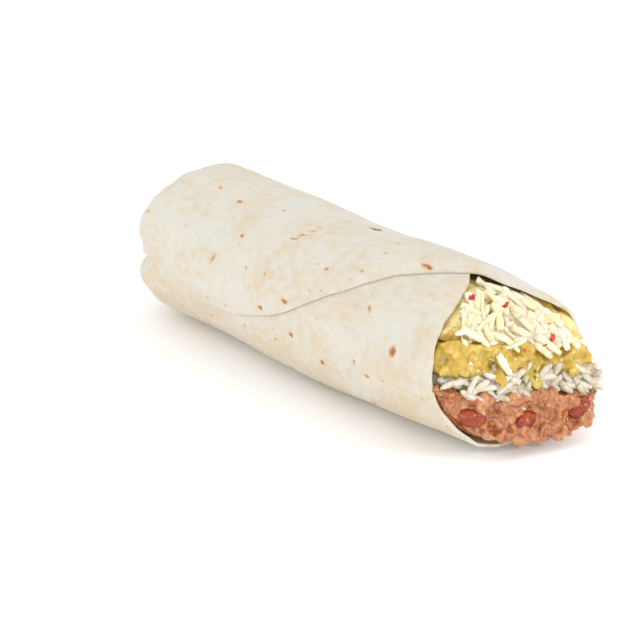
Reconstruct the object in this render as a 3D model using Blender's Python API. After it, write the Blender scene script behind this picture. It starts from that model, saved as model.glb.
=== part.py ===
"""Bean, rice and cheese burrito: one flour tortilla rolled round layered fillings.

Frame: +X runs along the roll to its open mouth, +Z is up, and Z = 0 is the surface that it lies on.
The origin is on that surface, below the middle of the whole.
Lengths are in millimetres until the last step, which writes metres.

The tortilla is one sheet. PHI is the angle round the roll, in degrees, counted along the sheet: 0 is
the top ridge under the flap, 90 the near side, 180 the underside, 270 the far side, 360 the top again
and about 450 the flap's free edge, back on the near side.
"""

import math

import bmesh
import bpy
import numpy as np

MM = 0.001

# Middle of the roll's own frame, measured from the part's origin below the middle of its box
ROLL_AT = (4.6, -0.2, 0.0)

# The roll
SHEET_THICKNESS = 1.8
LAYER_GAP = 0.5  # air between layers of the sheet
LAYER_STEP = SHEET_THICKNESS + LAYER_GAP
SQUARENESS = 2.2  # exponent of the section's superellipse; 2 is a true ellipse
REST_LEVEL = -2.2  # the envelope's lowest line, so that the underside is pressed flat a little
X_FOLD = -74.0  # where the closed end starts to turn in
X_MOUTH = 78.0
HALF_WIDTH = [(-80, 29.2), (0, 31.6), (X_MOUTH, 29.3)]
HALF_HEIGHT = [(-80, 26.5), (-15, 26.0), (50, 26.2), (X_MOUTH, 23.3)]
MOUTH_LIFT = 3.0  # the mouth's lower lip curls up from the table
LIFT_FROM = 30.0

# Outline of the sheet: the mouth's rim as (PHI, X), and the flap's free edge as (share of length, PHI)
PHI_START = -15.0
MOUTH_RIM = [
    (-20, 42), (-12, 45.5), (3, 52.7), (27, 59), (52, 62.5), (90, 65), (120, 69.5),
    (150, 72), (180, 72.5), (250, 73), (285, 71), (320, 69), (480, 69),
]
FLAP_EDGE = [
    (0, 444.4), (0.06, 451), (0.135, 457), (0.24, 456.5), (0.36, 451.5), (0.5, 437),
    (0.61, 413), (0.7, 391), (0.78, 367), (0.86, 348), (0.93, 340), (1.0, 316),
]
EDGE_TAPER = 5.0  # the sheet thins over this width along the flap's edge
EDGE_THICKNESS = 0.9

# The spiral: the sheet lies one layer deeper up to PHI_DEEP, and is outermost from PHI_OUTER
PHI_DEEP, PHI_OUTER = 120.0, 300.0

# The closed end: two lips that meet in a level crease
LIP_REACH = [  # how far each lip stands out of the end, against PHI
    (0, 14.8), (45, 13.4), (70, 11.3), (90, 8), (105, 13), (120, 17.5), (150, 19.5), (180, 18.5),
    (215, 16), (250, 12), (270, 8), (290, 11.3), (315, 13.4), (360, 14.8),
]
CREASE_WIDTH = 0.52  # share of the roll's width
CREASE_RISE = 3.0
CREASE_HALF_GAP = 0.012  # share of the half height
TUCK_LENGTH = 3.0
FOLD_SLACK = 0.15  # the under layer lies this share deeper inside the fold

# Mesh steps of the sheet
STEPS_ROUND, STEPS_ALONG, STEPS_FOLD = 40, 17, 9
EDGE_STEPS = (5.0, 2.5, 1.0, 0.0)  # millimetres from the free edge

# Fillings
FILLING_GAP = 0.3  # between two fillings
CORE_GAP = 0.5  # between the fillings and the tortilla
CORE_BACK = -69.3
CORE_ROUND, CORE_ALONG = 36, 11
WELD = 0.1  # slivers that a cut leaves are closed up below this size

# The fillings' front: X of its edge against PHI, X of its middle, and how far it spills over the rim
FRONT_EDGE = [
    (-15, 51), (0, 54), (30, 60), (60, 62.5), (90, 64), (120, 67.5), (150, 71.5), (175, 74),
    (200, 79), (225, 82.5), (250, 81), (275, 77), (290, 71), (305, 64.5), (325, 55), (345, 51),
]
FRONT_MIDDLE_X = 73.0
FRONT_DOME = 1.7
X_FLARE = 73.8
FLARE = 2.4

# Each layer: the level of its top at the middle, that top's slope per millimetre of Y and its waviness,
# and how far its front stands out
LAYERS = {
    "refried_beans": {"top": 19.6, "slope": -0.19, "wave": 1.0, "out": 0.8,
                      "color": (0.47, 0.20, 0.11, 1), "roughness": 0.35},
    "rice": {"top": 25.2, "slope": -0.14, "wave": 0.9, "out": -0.4,
             "color": (0.86, 0.84, 0.78, 1), "roughness": 0.5},
    "green_sauce": {"top": 34.2, "slope": -0.17, "wave": 1.2, "out": 0.2,
                    "color": (0.62, 0.49, 0.10, 1), "roughness": 0.2},
    "shredded_cheese": {"top": None, "slope": 0.0, "wave": 0.0, "out": -0.4,
                        "color": (0.86, 0.80, 0.55, 1), "roughness": 0.45},
}
BELOW_ALL, ABOVE_ALL = -10.0, 80.0

# Whole beans that show in the mash: centre (Y, Z), how far it lies behind the front, size and turn
WHOLE_BEANS = {
    "whole_bean_left": ((-16.8, 15.0), 1.6, (10.5, 6.4, 6.0), (0, 20, 70)),
    "whole_bean_middle": ((0.8, 9.8), 1.6, (9.6, 6.4, 6.2), (0, -25, 75)),
    "whole_bean_right": ((18.6, 11.6), 1.6, (9.2, 6.2, 6.0), (0, -30, 85)),
}


def ease(low, high, value):
    """0 below low, 1 above high and a smooth step between."""
    share = np.clip((np.asarray(value, float) - low) / (high - low), 0, 1)
    return share * share * (3 - 2 * share)


def through(points, value):
    """Smooth curve through the points, read at value."""
    xs, ys = (np.array(column, float) for column in zip(*points))
    slopes = np.gradient(ys, xs)
    value = np.clip(np.asarray(value, float), xs[0], xs[-1])
    k = np.clip(np.searchsorted(xs, value, side="right") - 1, 0, len(xs) - 2)
    span = xs[k + 1] - xs[k]
    t = (value - xs[k]) / span
    return (
        (2 * t**3 - 3 * t**2 + 1) * ys[k]
        + (t**3 - 2 * t**2 + t) * span * slopes[k]
        + (3 * t**2 - 2 * t**3) * ys[k + 1]
        + (t**3 - t**2) * span * slopes[k + 1]
    )


def envelope(x, phi, fold=0.0, tuck=0.0):
    """Points on the roll's outermost surface. fold runs from 0 on the body to pi at the crease."""
    x, phi, fold, tuck = np.broadcast_arrays(*(np.asarray(v, float) for v in (x, phi, fold, tuck)))
    angle = np.radians(90 + phi)
    across = np.sign(np.cos(angle)) * abs(np.cos(angle)) ** (2 / SQUARENESS)
    upward = np.sign(np.sin(angle)) * abs(np.sin(angle)) ** (2 / SQUARENESS)
    half_width = through(HALF_WIDTH, x)
    half_height = through(HALF_HEIGHT, x)
    lift = MOUTH_LIFT * ease(LIFT_FROM, X_MOUTH, x)
    open_share = (1 + np.cos(fold)) / 2
    reach = through(LIP_REACH, phi % 360)
    y = half_width * across * (CREASE_WIDTH + (1 - CREASE_WIDTH) * open_share)
    middle = half_height + REST_LEVEL + lift + CREASE_RISE * (1 - open_share)
    z = middle + half_height * upward * (open_share + (1 - open_share) * CREASE_HALF_GAP)
    return np.stack([x - reach * np.sin(fold) + tuck, y, z], -1)


def outward(x, phi, fold=0.0):
    """Unit normals of the envelope."""
    step = 0.5
    round_it = envelope(x, phi + step, fold) - envelope(x, phi - step, fold)
    toward_mouth = np.where(
        (np.asarray(fold) > 0)[..., None],
        envelope(x, phi, np.maximum(fold - 0.01, 0)) - envelope(x, phi, fold + 0.01),
        envelope(x + step, phi) - envelope(x - step, phi),
    )
    normal = np.cross(round_it, toward_mouth)
    return normal / np.linalg.norm(normal, axis=-1, keepdims=True)


def layer_depth(phi):
    """How far the sheet's outer face lies inside the envelope."""
    return LAYER_STEP * (1 - ease(PHI_DEEP, PHI_OUTER, phi))


def sheet_grid():
    """PHI, X, fold angle and tuck of each grid point, and its distance from the free edge."""
    fold = np.concatenate([[math.pi], np.linspace(math.pi, 0, STEPS_FOLD + 1), np.zeros(STEPS_ALONG)])
    share = np.concatenate([np.zeros(STEPS_FOLD + 1), np.linspace(0, 1, STEPS_ALONG + 1)])
    tuck = np.where(np.arange(len(fold)) == 0, TUCK_LENGTH, 0.0)
    edge = through(FLAP_EDGE, share)
    mm_per_degree = math.radians(1) * through(HALF_WIDTH, 0)
    inner_end = edge - EDGE_STEPS[0] / mm_per_degree
    even = PHI_START + np.linspace(0, 1, STEPS_ROUND + 1)[:, None] * (inner_end - PHI_START)
    close = edge - np.array(EDGE_STEPS[1:])[:, None] / mm_per_degree
    phi = np.vstack([even, close])
    x = X_FOLD + (through(MOUTH_RIM, phi) - X_FOLD) * share
    from_edge = (edge - phi) * mm_per_degree
    return phi, x, np.broadcast_to(fold, phi.shape), np.broadcast_to(tuck, phi.shape), from_edge


def closed_sheet(top, bottom):
    """Vertices and faces of the solid between two grids of points."""
    rows, columns = top.shape[:2]
    index = np.arange(rows * columns).reshape(rows, columns)
    under = index + rows * columns
    faces = []
    for i in range(rows - 1):
        for j in range(columns - 1):
            faces.append((index[i, j], index[i, j + 1], index[i + 1, j + 1]))
            faces.append((index[i, j], index[i + 1, j + 1], index[i + 1, j]))
            faces.append((under[i, j], under[i + 1, j + 1], under[i, j + 1]))
            faces.append((under[i, j], under[i + 1, j], under[i + 1, j + 1]))
    outline = [(i, 0) for i in range(rows)] + [(rows - 1, j) for j in range(1, columns)]
    outline += [(i, columns - 1) for i in range(rows - 2, -1, -1)]
    outline += [(0, j) for j in range(columns - 2, 0, -1)]
    for a, b in zip(outline, outline[1:] + outline[:1]):
        faces.append((index[a], index[b], under[b], under[a]))
    return np.vstack([top.reshape(-1, 3), bottom.reshape(-1, 3)]), faces


def finish(color, roughness, name):
    """A plain material of that colour."""
    made = bpy.data.materials.new(name)
    made.use_nodes = True
    shader = made.node_tree.nodes["Principled BSDF"]
    shader.inputs["Base Color"].default_value = color
    shader.inputs["Roughness"].default_value = roughness
    made.diffuse_color = color
    return made


def add_object(name, points, faces):
    """A mesh object from points in millimetres, with its faces turned outwards."""
    mesh = bpy.data.meshes.new(name)
    points = (np.asarray(points) + ROLL_AT) * MM
    mesh.from_pydata([tuple(p) for p in points], [], [tuple(map(int, f)) for f in faces])
    edit = bmesh.new()
    edit.from_mesh(mesh)
    bmesh.ops.recalc_face_normals(edit, faces=edit.faces)
    edit.to_mesh(mesh)
    edit.free()
    made = bpy.data.objects.new(name, mesh)
    bpy.context.scene.collection.objects.link(made)
    return made


def make_tortilla():
    """The rolled sheet: one spiral layer, its far end folded shut."""
    phi, x, fold, tuck, from_edge = sheet_grid()
    surface = envelope(x, phi, fold, tuck)
    normal = outward(x, phi, fold)
    depth = layer_depth(phi) * (1 + FOLD_SLACK * (1 - np.cos(fold)) / 2)
    bevel = (SHEET_THICKNESS - EDGE_THICKNESS) * (1 - ease(0, EDGE_TAPER, from_edge))
    outer = surface - normal * (depth + bevel)[..., None]
    inner = surface - normal * (depth + SHEET_THICKNESS)[..., None]
    outer[..., 2] = np.maximum(outer[..., 2], 0)
    inner[..., 2] = np.maximum(inner[..., 2], SHEET_THICKNESS)
    tortilla = add_object("tortilla", *closed_sheet(outer, inner))
    tortilla.data.materials.append(finish((0.84, 0.78, 0.66, 1), 0.7, "tortilla"))
    tortilla.data.shade_smooth()
    tortilla.data.set_sharp_from_angle(angle=math.radians(40))


def core_angles():
    """PHI of each point round a filling."""
    return np.linspace(PHI_START, PHI_START + 360, CORE_ROUND, endpoint=False)


def core_section(x):
    """The filling's outline at station x, just inside the tortilla's inner face."""
    phi = core_angles()
    under_flap = 1 - ease(316, 338, phi)
    depth = SHEET_THICKNESS + LAYER_STEP * (1 - ease(PHI_DEEP, PHI_OUTER, phi) * under_flap)
    x = np.broadcast_to(np.asarray(x, float), phi.shape)
    section = envelope(x, phi) - outward(x, phi) * (depth + CORE_GAP)[:, None]
    section[:, 2] = np.maximum(section[:, 2], SHEET_THICKNESS + CORE_GAP)
    return section


def front_ring(section, share, edge_x, middle_x, out):
    """Ring on a filling's domed front, at that share of the way from its middle to its edge."""
    centre = section.mean(axis=0)
    ring = centre + (section - centre) * share
    ring[:, 0] = middle_x + (edge_x - middle_x) * share**FRONT_DOME + out
    return ring


def core_rings(out):
    """Closed rings of a filling, from its rounded back to its front, which stands that far out."""
    phi = core_angles()
    edge_x = through(FRONT_EDGE, phi)
    root_x = np.minimum(edge_x - 3.2, X_FLARE)
    flare = (FLARE * ease(X_FLARE + 1, X_FLARE + 6, edge_x))[:, None]
    back = core_section(CORE_BACK + 5)
    rings = [front_ring(back, share, CORE_BACK + inset, CORE_BACK, 0.0)
             for share, inset in ((0.35, 0.0), (0.75, 0.8), (0.93, 2.4))]
    for share in np.linspace(0, 1, CORE_ALONG + 1):
        rings.append(core_section(CORE_BACK + 5 + share * (root_x - CORE_BACK - 5)))
    lip = rings[-1]
    away = lip - lip.mean(axis=0)
    away[:, 0] = 0
    away /= np.linalg.norm(away, axis=1, keepdims=True)
    for share, growth in ((0.4, 0.85), (1.0, 1.0)):
        ring = core_section(root_x + (edge_x - 1.6 - root_x) * share)
        rings.append(ring + away * flare * growth)
    rings += [front_ring(rings[-1], share, edge_x, FRONT_MIDDLE_X, out * easing)
              for share, easing in ((0.95, 0.5), (0.82, 1.0), (0.58, 1.0), (0.25, 1.0))]
    return rings


def lofted(rings):
    """Vertices and faces of the body through closed rings, with flat ends."""
    count = len(rings[0])
    faces = [tuple(range(count)), tuple(range((len(rings) - 1) * count, len(rings) * count))]
    for k in range(len(rings) - 1):
        for i in range(count):
            a, b = k * count + i, k * count + (i + 1) % count
            faces.append((a, b, b + count))
            faces.append((a, b + count, a + count))
    return np.vstack(rings), faces


def layer_surface(layer, offset):
    """Grid of a layer's wavy top, moved up by offset. None stands for a level above all."""
    x, y = np.meshgrid(np.linspace(-90, 100, 17), np.linspace(-42, 42, 10), indexing="ij")
    if layer is None:
        return np.stack([x, y, np.full_like(x, BELOW_ALL)], -1)
    if layer["top"] is None:
        return np.stack([x, y, np.full_like(x, ABOVE_ALL)], -1)
    ripple = np.sin(x / 9 + 0.7) * np.cos(y / 7 + x / 23) + 0.5 * np.sin(y / 4.3 - x / 15)
    z = layer["top"] + layer["slope"] * y + layer["wave"] * ripple + offset
    return np.stack([x, y, z], -1)


def make_layer(name, below, layer):
    """One filling: a core with its own front, cut to its own level."""
    body = add_object(name, *lofted(core_rings(layer["out"])))
    top = layer_surface(layer, -FILLING_GAP / 2)
    bottom = layer_surface(below, FILLING_GAP / 2)
    slab = add_object(name + "_level", *closed_sheet(top, bottom))
    slab.hide_render = True
    slab.display_type = "WIRE"
    cut = body.modifiers.new("level", "BOOLEAN")
    cut.operation = "INTERSECT"
    cut.solver = "EXACT"
    cut.object = slab
    body.data.materials.append(finish(layer["color"], layer["roughness"], name))
    return body


def make_bean(name, place, size, turn, growth=0.0):
    """A whole bean: an egg-shaped body, a little flattened, with a dent along one side."""
    bpy.ops.mesh.primitive_uv_sphere_add(segments=11, ring_count=7, radius=1)
    bean = bpy.context.object
    bean.name = name
    bean.data.name = name
    for vertex in bean.data.vertices:
        dent = 0.12 * max(0.0, -vertex.co.y) * (1 - vertex.co.x**2)
        vertex.co.y += dent
        for axis in range(3):
            vertex.co[axis] *= (size[axis] / 2 + growth) * MM
    bean.location = place
    bean.rotation_euler = [math.radians(value) for value in turn]
    bean.data.shade_smooth()
    return bean


def set_beans_in(mash):
    """The whole beans, each in a pocket of the mash that is a little larger."""
    skin = finish((0.36, 0.07, 0.02, 1), 0.25, "bean_skin")
    for name, ((y, z), behind, size, turn) in WHOLE_BEANS.items():
        front = mash.ray_cast((2 * X_MOUTH * MM, y * MM, z * MM), (-1, 0, 0))[1]
        place = (front.x - behind * MM, y * MM, z * MM)
        make_bean(name, place, size, turn).data.materials.append(skin)
        pocket = make_bean(name + "_pocket", place, size, turn, growth=FILLING_GAP)
        pocket.hide_render = True
        pocket.display_type = "WIRE"
        cut = mash.modifiers.new(name, "BOOLEAN")
        cut.operation = "DIFFERENCE"
        cut.solver = "EXACT"
        cut.object = pocket


def close_slivers(body):
    """Apply the cuts, and close up the slivers that they leave where two faces nearly meet."""
    seen = body.evaluated_get(bpy.context.evaluated_depsgraph_get())
    edit = bmesh.new()
    edit.from_mesh(seen.to_mesh())
    bmesh.ops.triangulate(edit, faces=edit.faces)
    bmesh.ops.remove_doubles(edit, verts=edit.verts, dist=WELD * MM)
    bmesh.ops.dissolve_degenerate(edit, edges=edit.edges, dist=WELD * MM)
    paired = {}
    for face in edit.faces:
        paired.setdefault(frozenset(face.verts), []).append(face)
    folded = [face for faces in paired.values() if len(faces) == 2 for face in faces]
    bmesh.ops.delete(edit, geom=folded, context="FACES")
    bmesh.ops.triangulate(edit, faces=edit.faces)
    body.modifiers.clear()
    edit.to_mesh(body.data)
    edit.free()


def main():
    for old in list(bpy.data.objects):
        bpy.data.objects.remove(old)
    make_tortilla()
    below = None
    for name, layer in LAYERS.items():
        filling = make_layer(name, below, layer)
        if below is None:
            set_beans_in(filling)
        close_slivers(filling)
        below = layer


main()
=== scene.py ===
"""Looks of a bean, rice and cheese burrito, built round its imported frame.

Lengths are in millimetres in the tables, and in metres once they reach Blender. The roll's own frame
runs along X to the open mouth; PHI counts degrees along the sheet: 0 on the top ridge under the flap,
90 on the near side, 180 underneath, 270 on the far side and about 450 at the flap's free edge.
"""

import math
import random

import bmesh
import bpy
import numpy as np
from mathutils import Matrix, Vector
from mathutils.bvhtree import BVHTree


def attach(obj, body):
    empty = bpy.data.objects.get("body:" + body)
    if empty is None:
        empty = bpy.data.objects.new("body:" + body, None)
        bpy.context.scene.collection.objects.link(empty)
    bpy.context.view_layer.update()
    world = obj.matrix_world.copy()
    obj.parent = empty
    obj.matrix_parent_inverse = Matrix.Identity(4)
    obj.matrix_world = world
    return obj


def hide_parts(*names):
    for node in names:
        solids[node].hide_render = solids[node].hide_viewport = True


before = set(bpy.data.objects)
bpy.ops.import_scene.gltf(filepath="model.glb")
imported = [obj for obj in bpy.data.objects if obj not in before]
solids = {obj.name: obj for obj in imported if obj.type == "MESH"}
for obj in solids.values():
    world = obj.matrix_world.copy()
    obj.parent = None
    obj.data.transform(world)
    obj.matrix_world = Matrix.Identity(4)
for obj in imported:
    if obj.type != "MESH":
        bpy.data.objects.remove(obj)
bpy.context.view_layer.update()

MM = 0.001
chance = random.Random(11)

# ---------------------------------------------------------------- camera

AIM = Vector((4.6, -0.2, 26.6)) * MM
AZIMUTH, ELEVATION = math.radians(48.0), math.radians(23.5)
CAMERA_DISTANCE = 0.9

back = Vector((
    math.sin(AZIMUTH) * math.cos(ELEVATION),
    -math.cos(AZIMUTH) * math.cos(ELEVATION),
    math.sin(ELEVATION),
))
view_right = Vector((math.cos(AZIMUTH), math.sin(AZIMUTH), 0))
view_up = back.cross(view_right)
camera_data = bpy.data.cameras.new("camera")
camera_data.lens = 156.5
camera_data.shift_x = -0.0592
camera_data.shift_y = -0.0305
camera_data.clip_start = 0.05
camera = bpy.data.objects.new("camera", camera_data)
camera.location = AIM + back * CAMERA_DISTANCE
camera.rotation_mode = "QUATERNION"
camera.rotation_quaternion = (-back).to_track_quat("-Z", "Y")
bpy.context.scene.collection.objects.link(camera)
bpy.context.scene.camera = camera

# ---------------------------------------------------------------- small helpers


def linear(code):
    """Linear colour of an sRGB hex code."""
    parts = [int(code[i:i + 2], 16) / 255 for i in (0, 2, 4)]
    return tuple(c / 12.92 if c <= 0.04045 else ((c + 0.055) / 1.055) ** 2.4 for c in parts) + (1.0,)


def node(tree, kind, links=None, stops=None, **settings):
    """Add a node with its settings; links gives each input a value or another node's output."""
    made = tree.nodes.new(kind)
    for name, value in settings.items():
        setattr(made, name, value)
    for key, value in (links or {}).items():
        if isinstance(value, bpy.types.NodeSocket):
            tree.links.new(value, made.inputs[key])
        else:
            made.inputs[key].default_value = value
    if stops:
        ramp = made.color_ramp.elements
        while len(ramp) < len(stops):
            ramp.new(0.5)
        for stop, (place, color) in zip(ramp, stops):
            stop.position = place
            stop.color = color if isinstance(color, tuple) else (color, color, color, 1)
    return made


def new_material(name):
    """A material of that name, with its tree and its Principled shader."""
    made = bpy.data.materials.new(name)
    made.use_nodes = True
    return made, made.node_tree, made.node_tree.nodes["Principled BSDF"]


def deselect():
    """Leave edit mode with nothing selected."""
    if bpy.context.object and bpy.context.object.mode != "OBJECT":
        bpy.ops.object.mode_set(mode="OBJECT")
    bpy.ops.object.select_all(action="DESELECT")


def pick(piece):
    """Make one piece the selected and active one."""
    deselect()
    piece.select_set(True)
    bpy.context.view_layer.objects.active = piece


def apply_all(piece):
    """Apply each of the piece's modifiers in turn."""
    pick(piece)
    for modifier in list(piece.modifiers):
        bpy.ops.object.modifier_apply(modifier=modifier.name)


def ease(low, high, value):
    """0 below low, 1 above high and a smooth step between."""
    share = np.clip((np.asarray(value, float) - low) / (high - low), 0, 1)
    return share * share * (3 - 2 * share)


def through(points, value):
    """Smooth curve through the points, read at value."""
    xs, ys = (np.array(column, float) for column in zip(*points))
    slopes = np.gradient(ys, xs)
    value = np.clip(np.asarray(value, float), xs[0], xs[-1])
    k = np.clip(np.searchsorted(xs, value, side="right") - 1, 0, len(xs) - 2)
    span = xs[k + 1] - xs[k]
    t = (value - xs[k]) / span
    return (
        (2 * t**3 - 3 * t**2 + 1) * ys[k]
        + (t**3 - 2 * t**2 + t) * span * slopes[k]
        + (3 * t**2 - 2 * t**3) * ys[k + 1]
        + (t**3 - t**2) * span * slopes[k + 1]
    )


def corners(mesh):
    """The mesh's vertices as an array, in millimetres."""
    flat = np.empty(len(mesh.vertices) * 3, np.float32)
    mesh.vertices.foreach_get("co", flat)
    return flat.reshape(-1, 3).astype(float) / MM


def move_corners(mesh, places):
    """Put the mesh's vertices at these places, in millimetres."""
    mesh.vertices.foreach_set("co", (places * MM).astype(np.float32).ravel())
    mesh.update()


def paint(mesh, name, values):
    """Store one number for each vertex."""
    layer = mesh.attributes.new(name, "FLOAT", "POINT")
    layer.data.foreach_set("value", np.asarray(values, np.float32))


def tree_of(piece):
    """A search tree over a piece's faces, for touching and for finding its surface."""
    mesh = piece.data
    return BVHTree.FromPolygons([v.co for v in mesh.vertices], [p.vertices[:] for p in mesh.polygons])


# ---------------------------------------------------------------- the roll's shape

ROLL_AT = np.array((4.6, -0.2, 0.0))
SHEET_THICKNESS, LAYER_GAP = 1.8, 0.5
SQUARENESS = 2.2
REST_LEVEL = -2.2
X_FOLD, X_MOUTH = -74.0, 78.0
HALF_WIDTH = [(-80, 29.2), (0, 31.6), (X_MOUTH, 29.3)]
HALF_HEIGHT = [(-80, 26.5), (-15, 26.0), (50, 26.2), (X_MOUTH, 23.3)]
MOUTH_LIFT, LIFT_FROM = 3.0, 30.0
PHI_START, PHI_DEEP, PHI_OUTER = -15.0, 120.0, 300.0
MOUTH_RIM = [
    (-20, 41.5), (-12, 45), (3, 52), (27, 57.2), (52, 60.2), (90, 64), (120, 69),
    (150, 72), (180, 72.5), (250, 73), (285, 71), (320, 69), (480, 69),
]
FLAP_EDGE = [
    (0, 444.4), (0.06, 451), (0.135, 457), (0.24, 456.5), (0.36, 451.5), (0.5, 437),
    (0.61, 413), (0.7, 391), (0.78, 367), (0.86, 348), (0.93, 340), (1.0, 316),
]
LIP_REACH = [
    (0, 14.8), (45, 13.4), (70, 11.3), (90, 8), (105, 13), (120, 17.5), (150, 19.5), (180, 18.5),
    (215, 16), (250, 12), (270, 8), (290, 11.3), (315, 13.4), (360, 14.8),
]
CREASE_WIDTH, CREASE_RISE, CREASE_HALF_GAP = 0.52, 3.0, 0.012
MM_PER_DEGREE = math.radians(1) * 31.6
SPAN_ROUND, SPAN_ALONG = 236, 172  # about one vertex for each millimetre of dough


def envelope(x, phi, fold, tuck):
    """Points on the roll's outermost surface. fold runs from 0 on the body to pi at the crease."""
    angle = np.radians(90 + phi)
    across = np.sign(np.cos(angle)) * abs(np.cos(angle)) ** (2 / SQUARENESS)
    upward = np.sign(np.sin(angle)) * abs(np.sin(angle)) ** (2 / SQUARENESS)
    half_height = through(HALF_HEIGHT, x)
    open_share = (1 + np.cos(fold)) / 2
    y = through(HALF_WIDTH, x) * across * (CREASE_WIDTH + (1 - CREASE_WIDTH) * open_share)
    middle = half_height + REST_LEVEL + MOUTH_LIFT * ease(LIFT_FROM, X_MOUTH, x)
    middle = middle + CREASE_RISE * (1 - open_share)
    z = middle + half_height * upward * (open_share + (1 - open_share) * CREASE_HALF_GAP)
    return np.stack([x - through(LIP_REACH, phi % 360) * np.sin(fold) + tuck, y, z], -1)


def outward(x, phi, fold, tuck):
    """Unit normals of the envelope."""
    step = 0.5
    round_it = envelope(x, phi + step, fold, tuck) - envelope(x, phi - step, fold, tuck)
    on_fold = envelope(x, phi, np.maximum(fold - 0.01, 0), tuck) - envelope(x, phi, fold + 0.01, tuck)
    on_body = envelope(x + step, phi, fold, tuck) - envelope(x - step, phi, fold, tuck)
    normal = np.cross(round_it, np.where((fold > 0)[..., None], on_fold, on_body))
    return normal / np.linalg.norm(normal, axis=-1, keepdims=True)


def dough_ripple(x, phi):
    """Millimetres of soft unevenness. It repeats each turn, so that the layers stay parallel."""
    turn = np.radians(phi)
    broad = (0.30 * np.sin(3 * turn + x / 17 + 0.4) + 0.22 * np.sin(5 * turn - x / 10 + 1.9)
             + 0.16 * np.sin(9 * turn + x / 24) * np.sin(x / 7.5 + 2 * turn)
             + 0.10 * np.sin(17 * turn - x / 6.1 + 0.8))
    gathers = 0.42 * np.sin(14 * turn + 1.3 * np.sin(x / 11)) + 0.25 * np.sin(23 * turn + x / 9)
    return broad - 0.25 + gathers * (1 - ease(X_FOLD - 2, X_FOLD + 30, x)) * 0.55


# Toasted marks that show on the outside: X, PHI, half length, half width, turn and strength
TOAST = [
    (0.7, 348.7, 2.9, 0.8, -8, 1.25), (1.6, 347.2, 1.6, 0.7, 30, 0.9), (35.2, 364, 2.4, 0.9, -10, 1.0),
    (46, 74.6, 1.5, 2.6, 10, 1.0), (-48.2, 375.1, 1.3, 1.1, 0, 1.0), (-33.6, 399.3, 1.1, 1.0, 0, 1.0),
    (-61.3, 371, 1.5, 1.1, 20, 0.75), (-71.6, 390.8, 1.9, 1.0, 0, 0.55), (-59, 411.2, 0.9, 0.9, 0, 0.7),
    (-53.1, 411.6, 0.9, 0.9, 0, 0.65), (-40, 422.7, 1.2, 3.0, 15, 0.72), (-55.2, 439.9, 2.2, 2.0, 0, 0.45),
    (-23.6, 418.7, 0.9, 1.0, 0, 0.8), (-14.5, 416.8, 0.8, 1.2, 0, 0.85), (-16.3, 400.4, 0.9, 0.8, 0, 0.7),
    (7.1, 396.7, 1.0, 1.0, 0, 1.0), (2.1, 395.6, 0.8, 0.8, 0, 0.8), (20.2, 389.6, 1.2, 0.8, 20, 0.8),
    (18.2, 397.1, 1.3, 0.8, -20, 0.7), (10, 412.3, 1.3, 0.7, -25, 0.7), (-2.6, 429.1, 1.5, 1.1, 15, 1.0),
    (-13.7, 441, 1.3, 1.1, 0, 1.0), (-30.9, 450.3, 1.2, 0.8, 0, 0.8), (-40.3, 451.4, 1.2, 0.9, 20, 0.8),
    (-47.9, 451.4, 0.9, 0.7, 0, 0.7), (-72, 117, 1.5, 1.0, 0, 0.8), (-25.4, 93.6, 0.9, 1.7, 10, 0.65),
    (-23.9, 101.8, 1.1, 1.3, 0, 0.7), (-42.3, 108.5, 1.3, 0.9, 0, 0.75), (-8.4, 92.9, 0.8, 0.9, 0, 0.8),
    (0.1, 91.4, 1.1, 0.9, 0, 1.15), (-8.4, 101.1, 0.9, 1.0, 0, 0.8), (11.5, 72, 0.8, 1.4, 0, 0.6),
    (15, 102.2, 1.0, 1.3, 0, 1.15), (30.2, 91, 1.1, 0.8, 0, 0.85), (35.5, 97.3, 1.4, 0.8, 25, 0.9),
    (6.2, 104.4, 0.9, 0.7, 0, 0.7), (30.5, 51.6, 0.8, 2.2, -20, 0.85), (20.2, 369.9, 1.0, 0.9, 0, 0.8),
    (-32.4, 365.1, 1.5, 0.9, 30, 0.7), (-40.9, 353.9, 1.5, 0.8, 0, 0.6), (-47, 332, 1.2, 0.7, 0, 0.6),
    (1.5, 361.7, 2.0, 1.2, 0, 0.5), (-14.3, 335.3, 1.6, 0.8, 0, 0.6), (21.4, 347.2, 1.2, 0.8, 0, 0.6),
    (19.1, 356.5, 1.0, 0.7, 0, 0.55), (-21, 339.8, 1.3, 0.7, 0, 0.5), (50.4, 15.5, 1.0, 1.6, 0, 0.55),
    (42.5, 96.6, 0.9, 0.8, 0, 0.75), (59.4, 98.1, 0.9, 0.9, 0, 0.7), (66.7, 121.1, 1.2, 1.0, 0, 0.7),
    (-15.1, 384.4, 2.2, 0.8, -30, 0.85), (-14.3, 378.9, 2.0, 0.8, -25, 0.9),
    (-13.4, 372.5, 1.8, 0.8, -30, 0.8),
    (-13.7, 366.2, 1.6, 0.7, -20, 0.75), (-19, 381, 1.2, 0.6, -20, 0.7), (-8.5, 369, 1.6, 0.6, -30, 0.65),
]


# and as many, about as close together, on the far side, underneath and on the closed end
scorch = random.Random(4)
TOAST += [
    (scorch.uniform(-76, 66), scorch.uniform(112, 322), scorch.uniform(0.9, 1.9), scorch.uniform(0.7, 1.3),
     scorch.uniform(-40, 40), scorch.uniform(0.5, 1.15))
    for _ in range(46)
]
TOAST += [
    (scorch.uniform(-100, -77), scorch.uniform(0, 440), scorch.uniform(0.9, 1.6), scorch.uniform(0.8, 1.2),
     scorch.uniform(-40, 40), scorch.uniform(0.5, 1.0))
    for _ in range(22)
]


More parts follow.
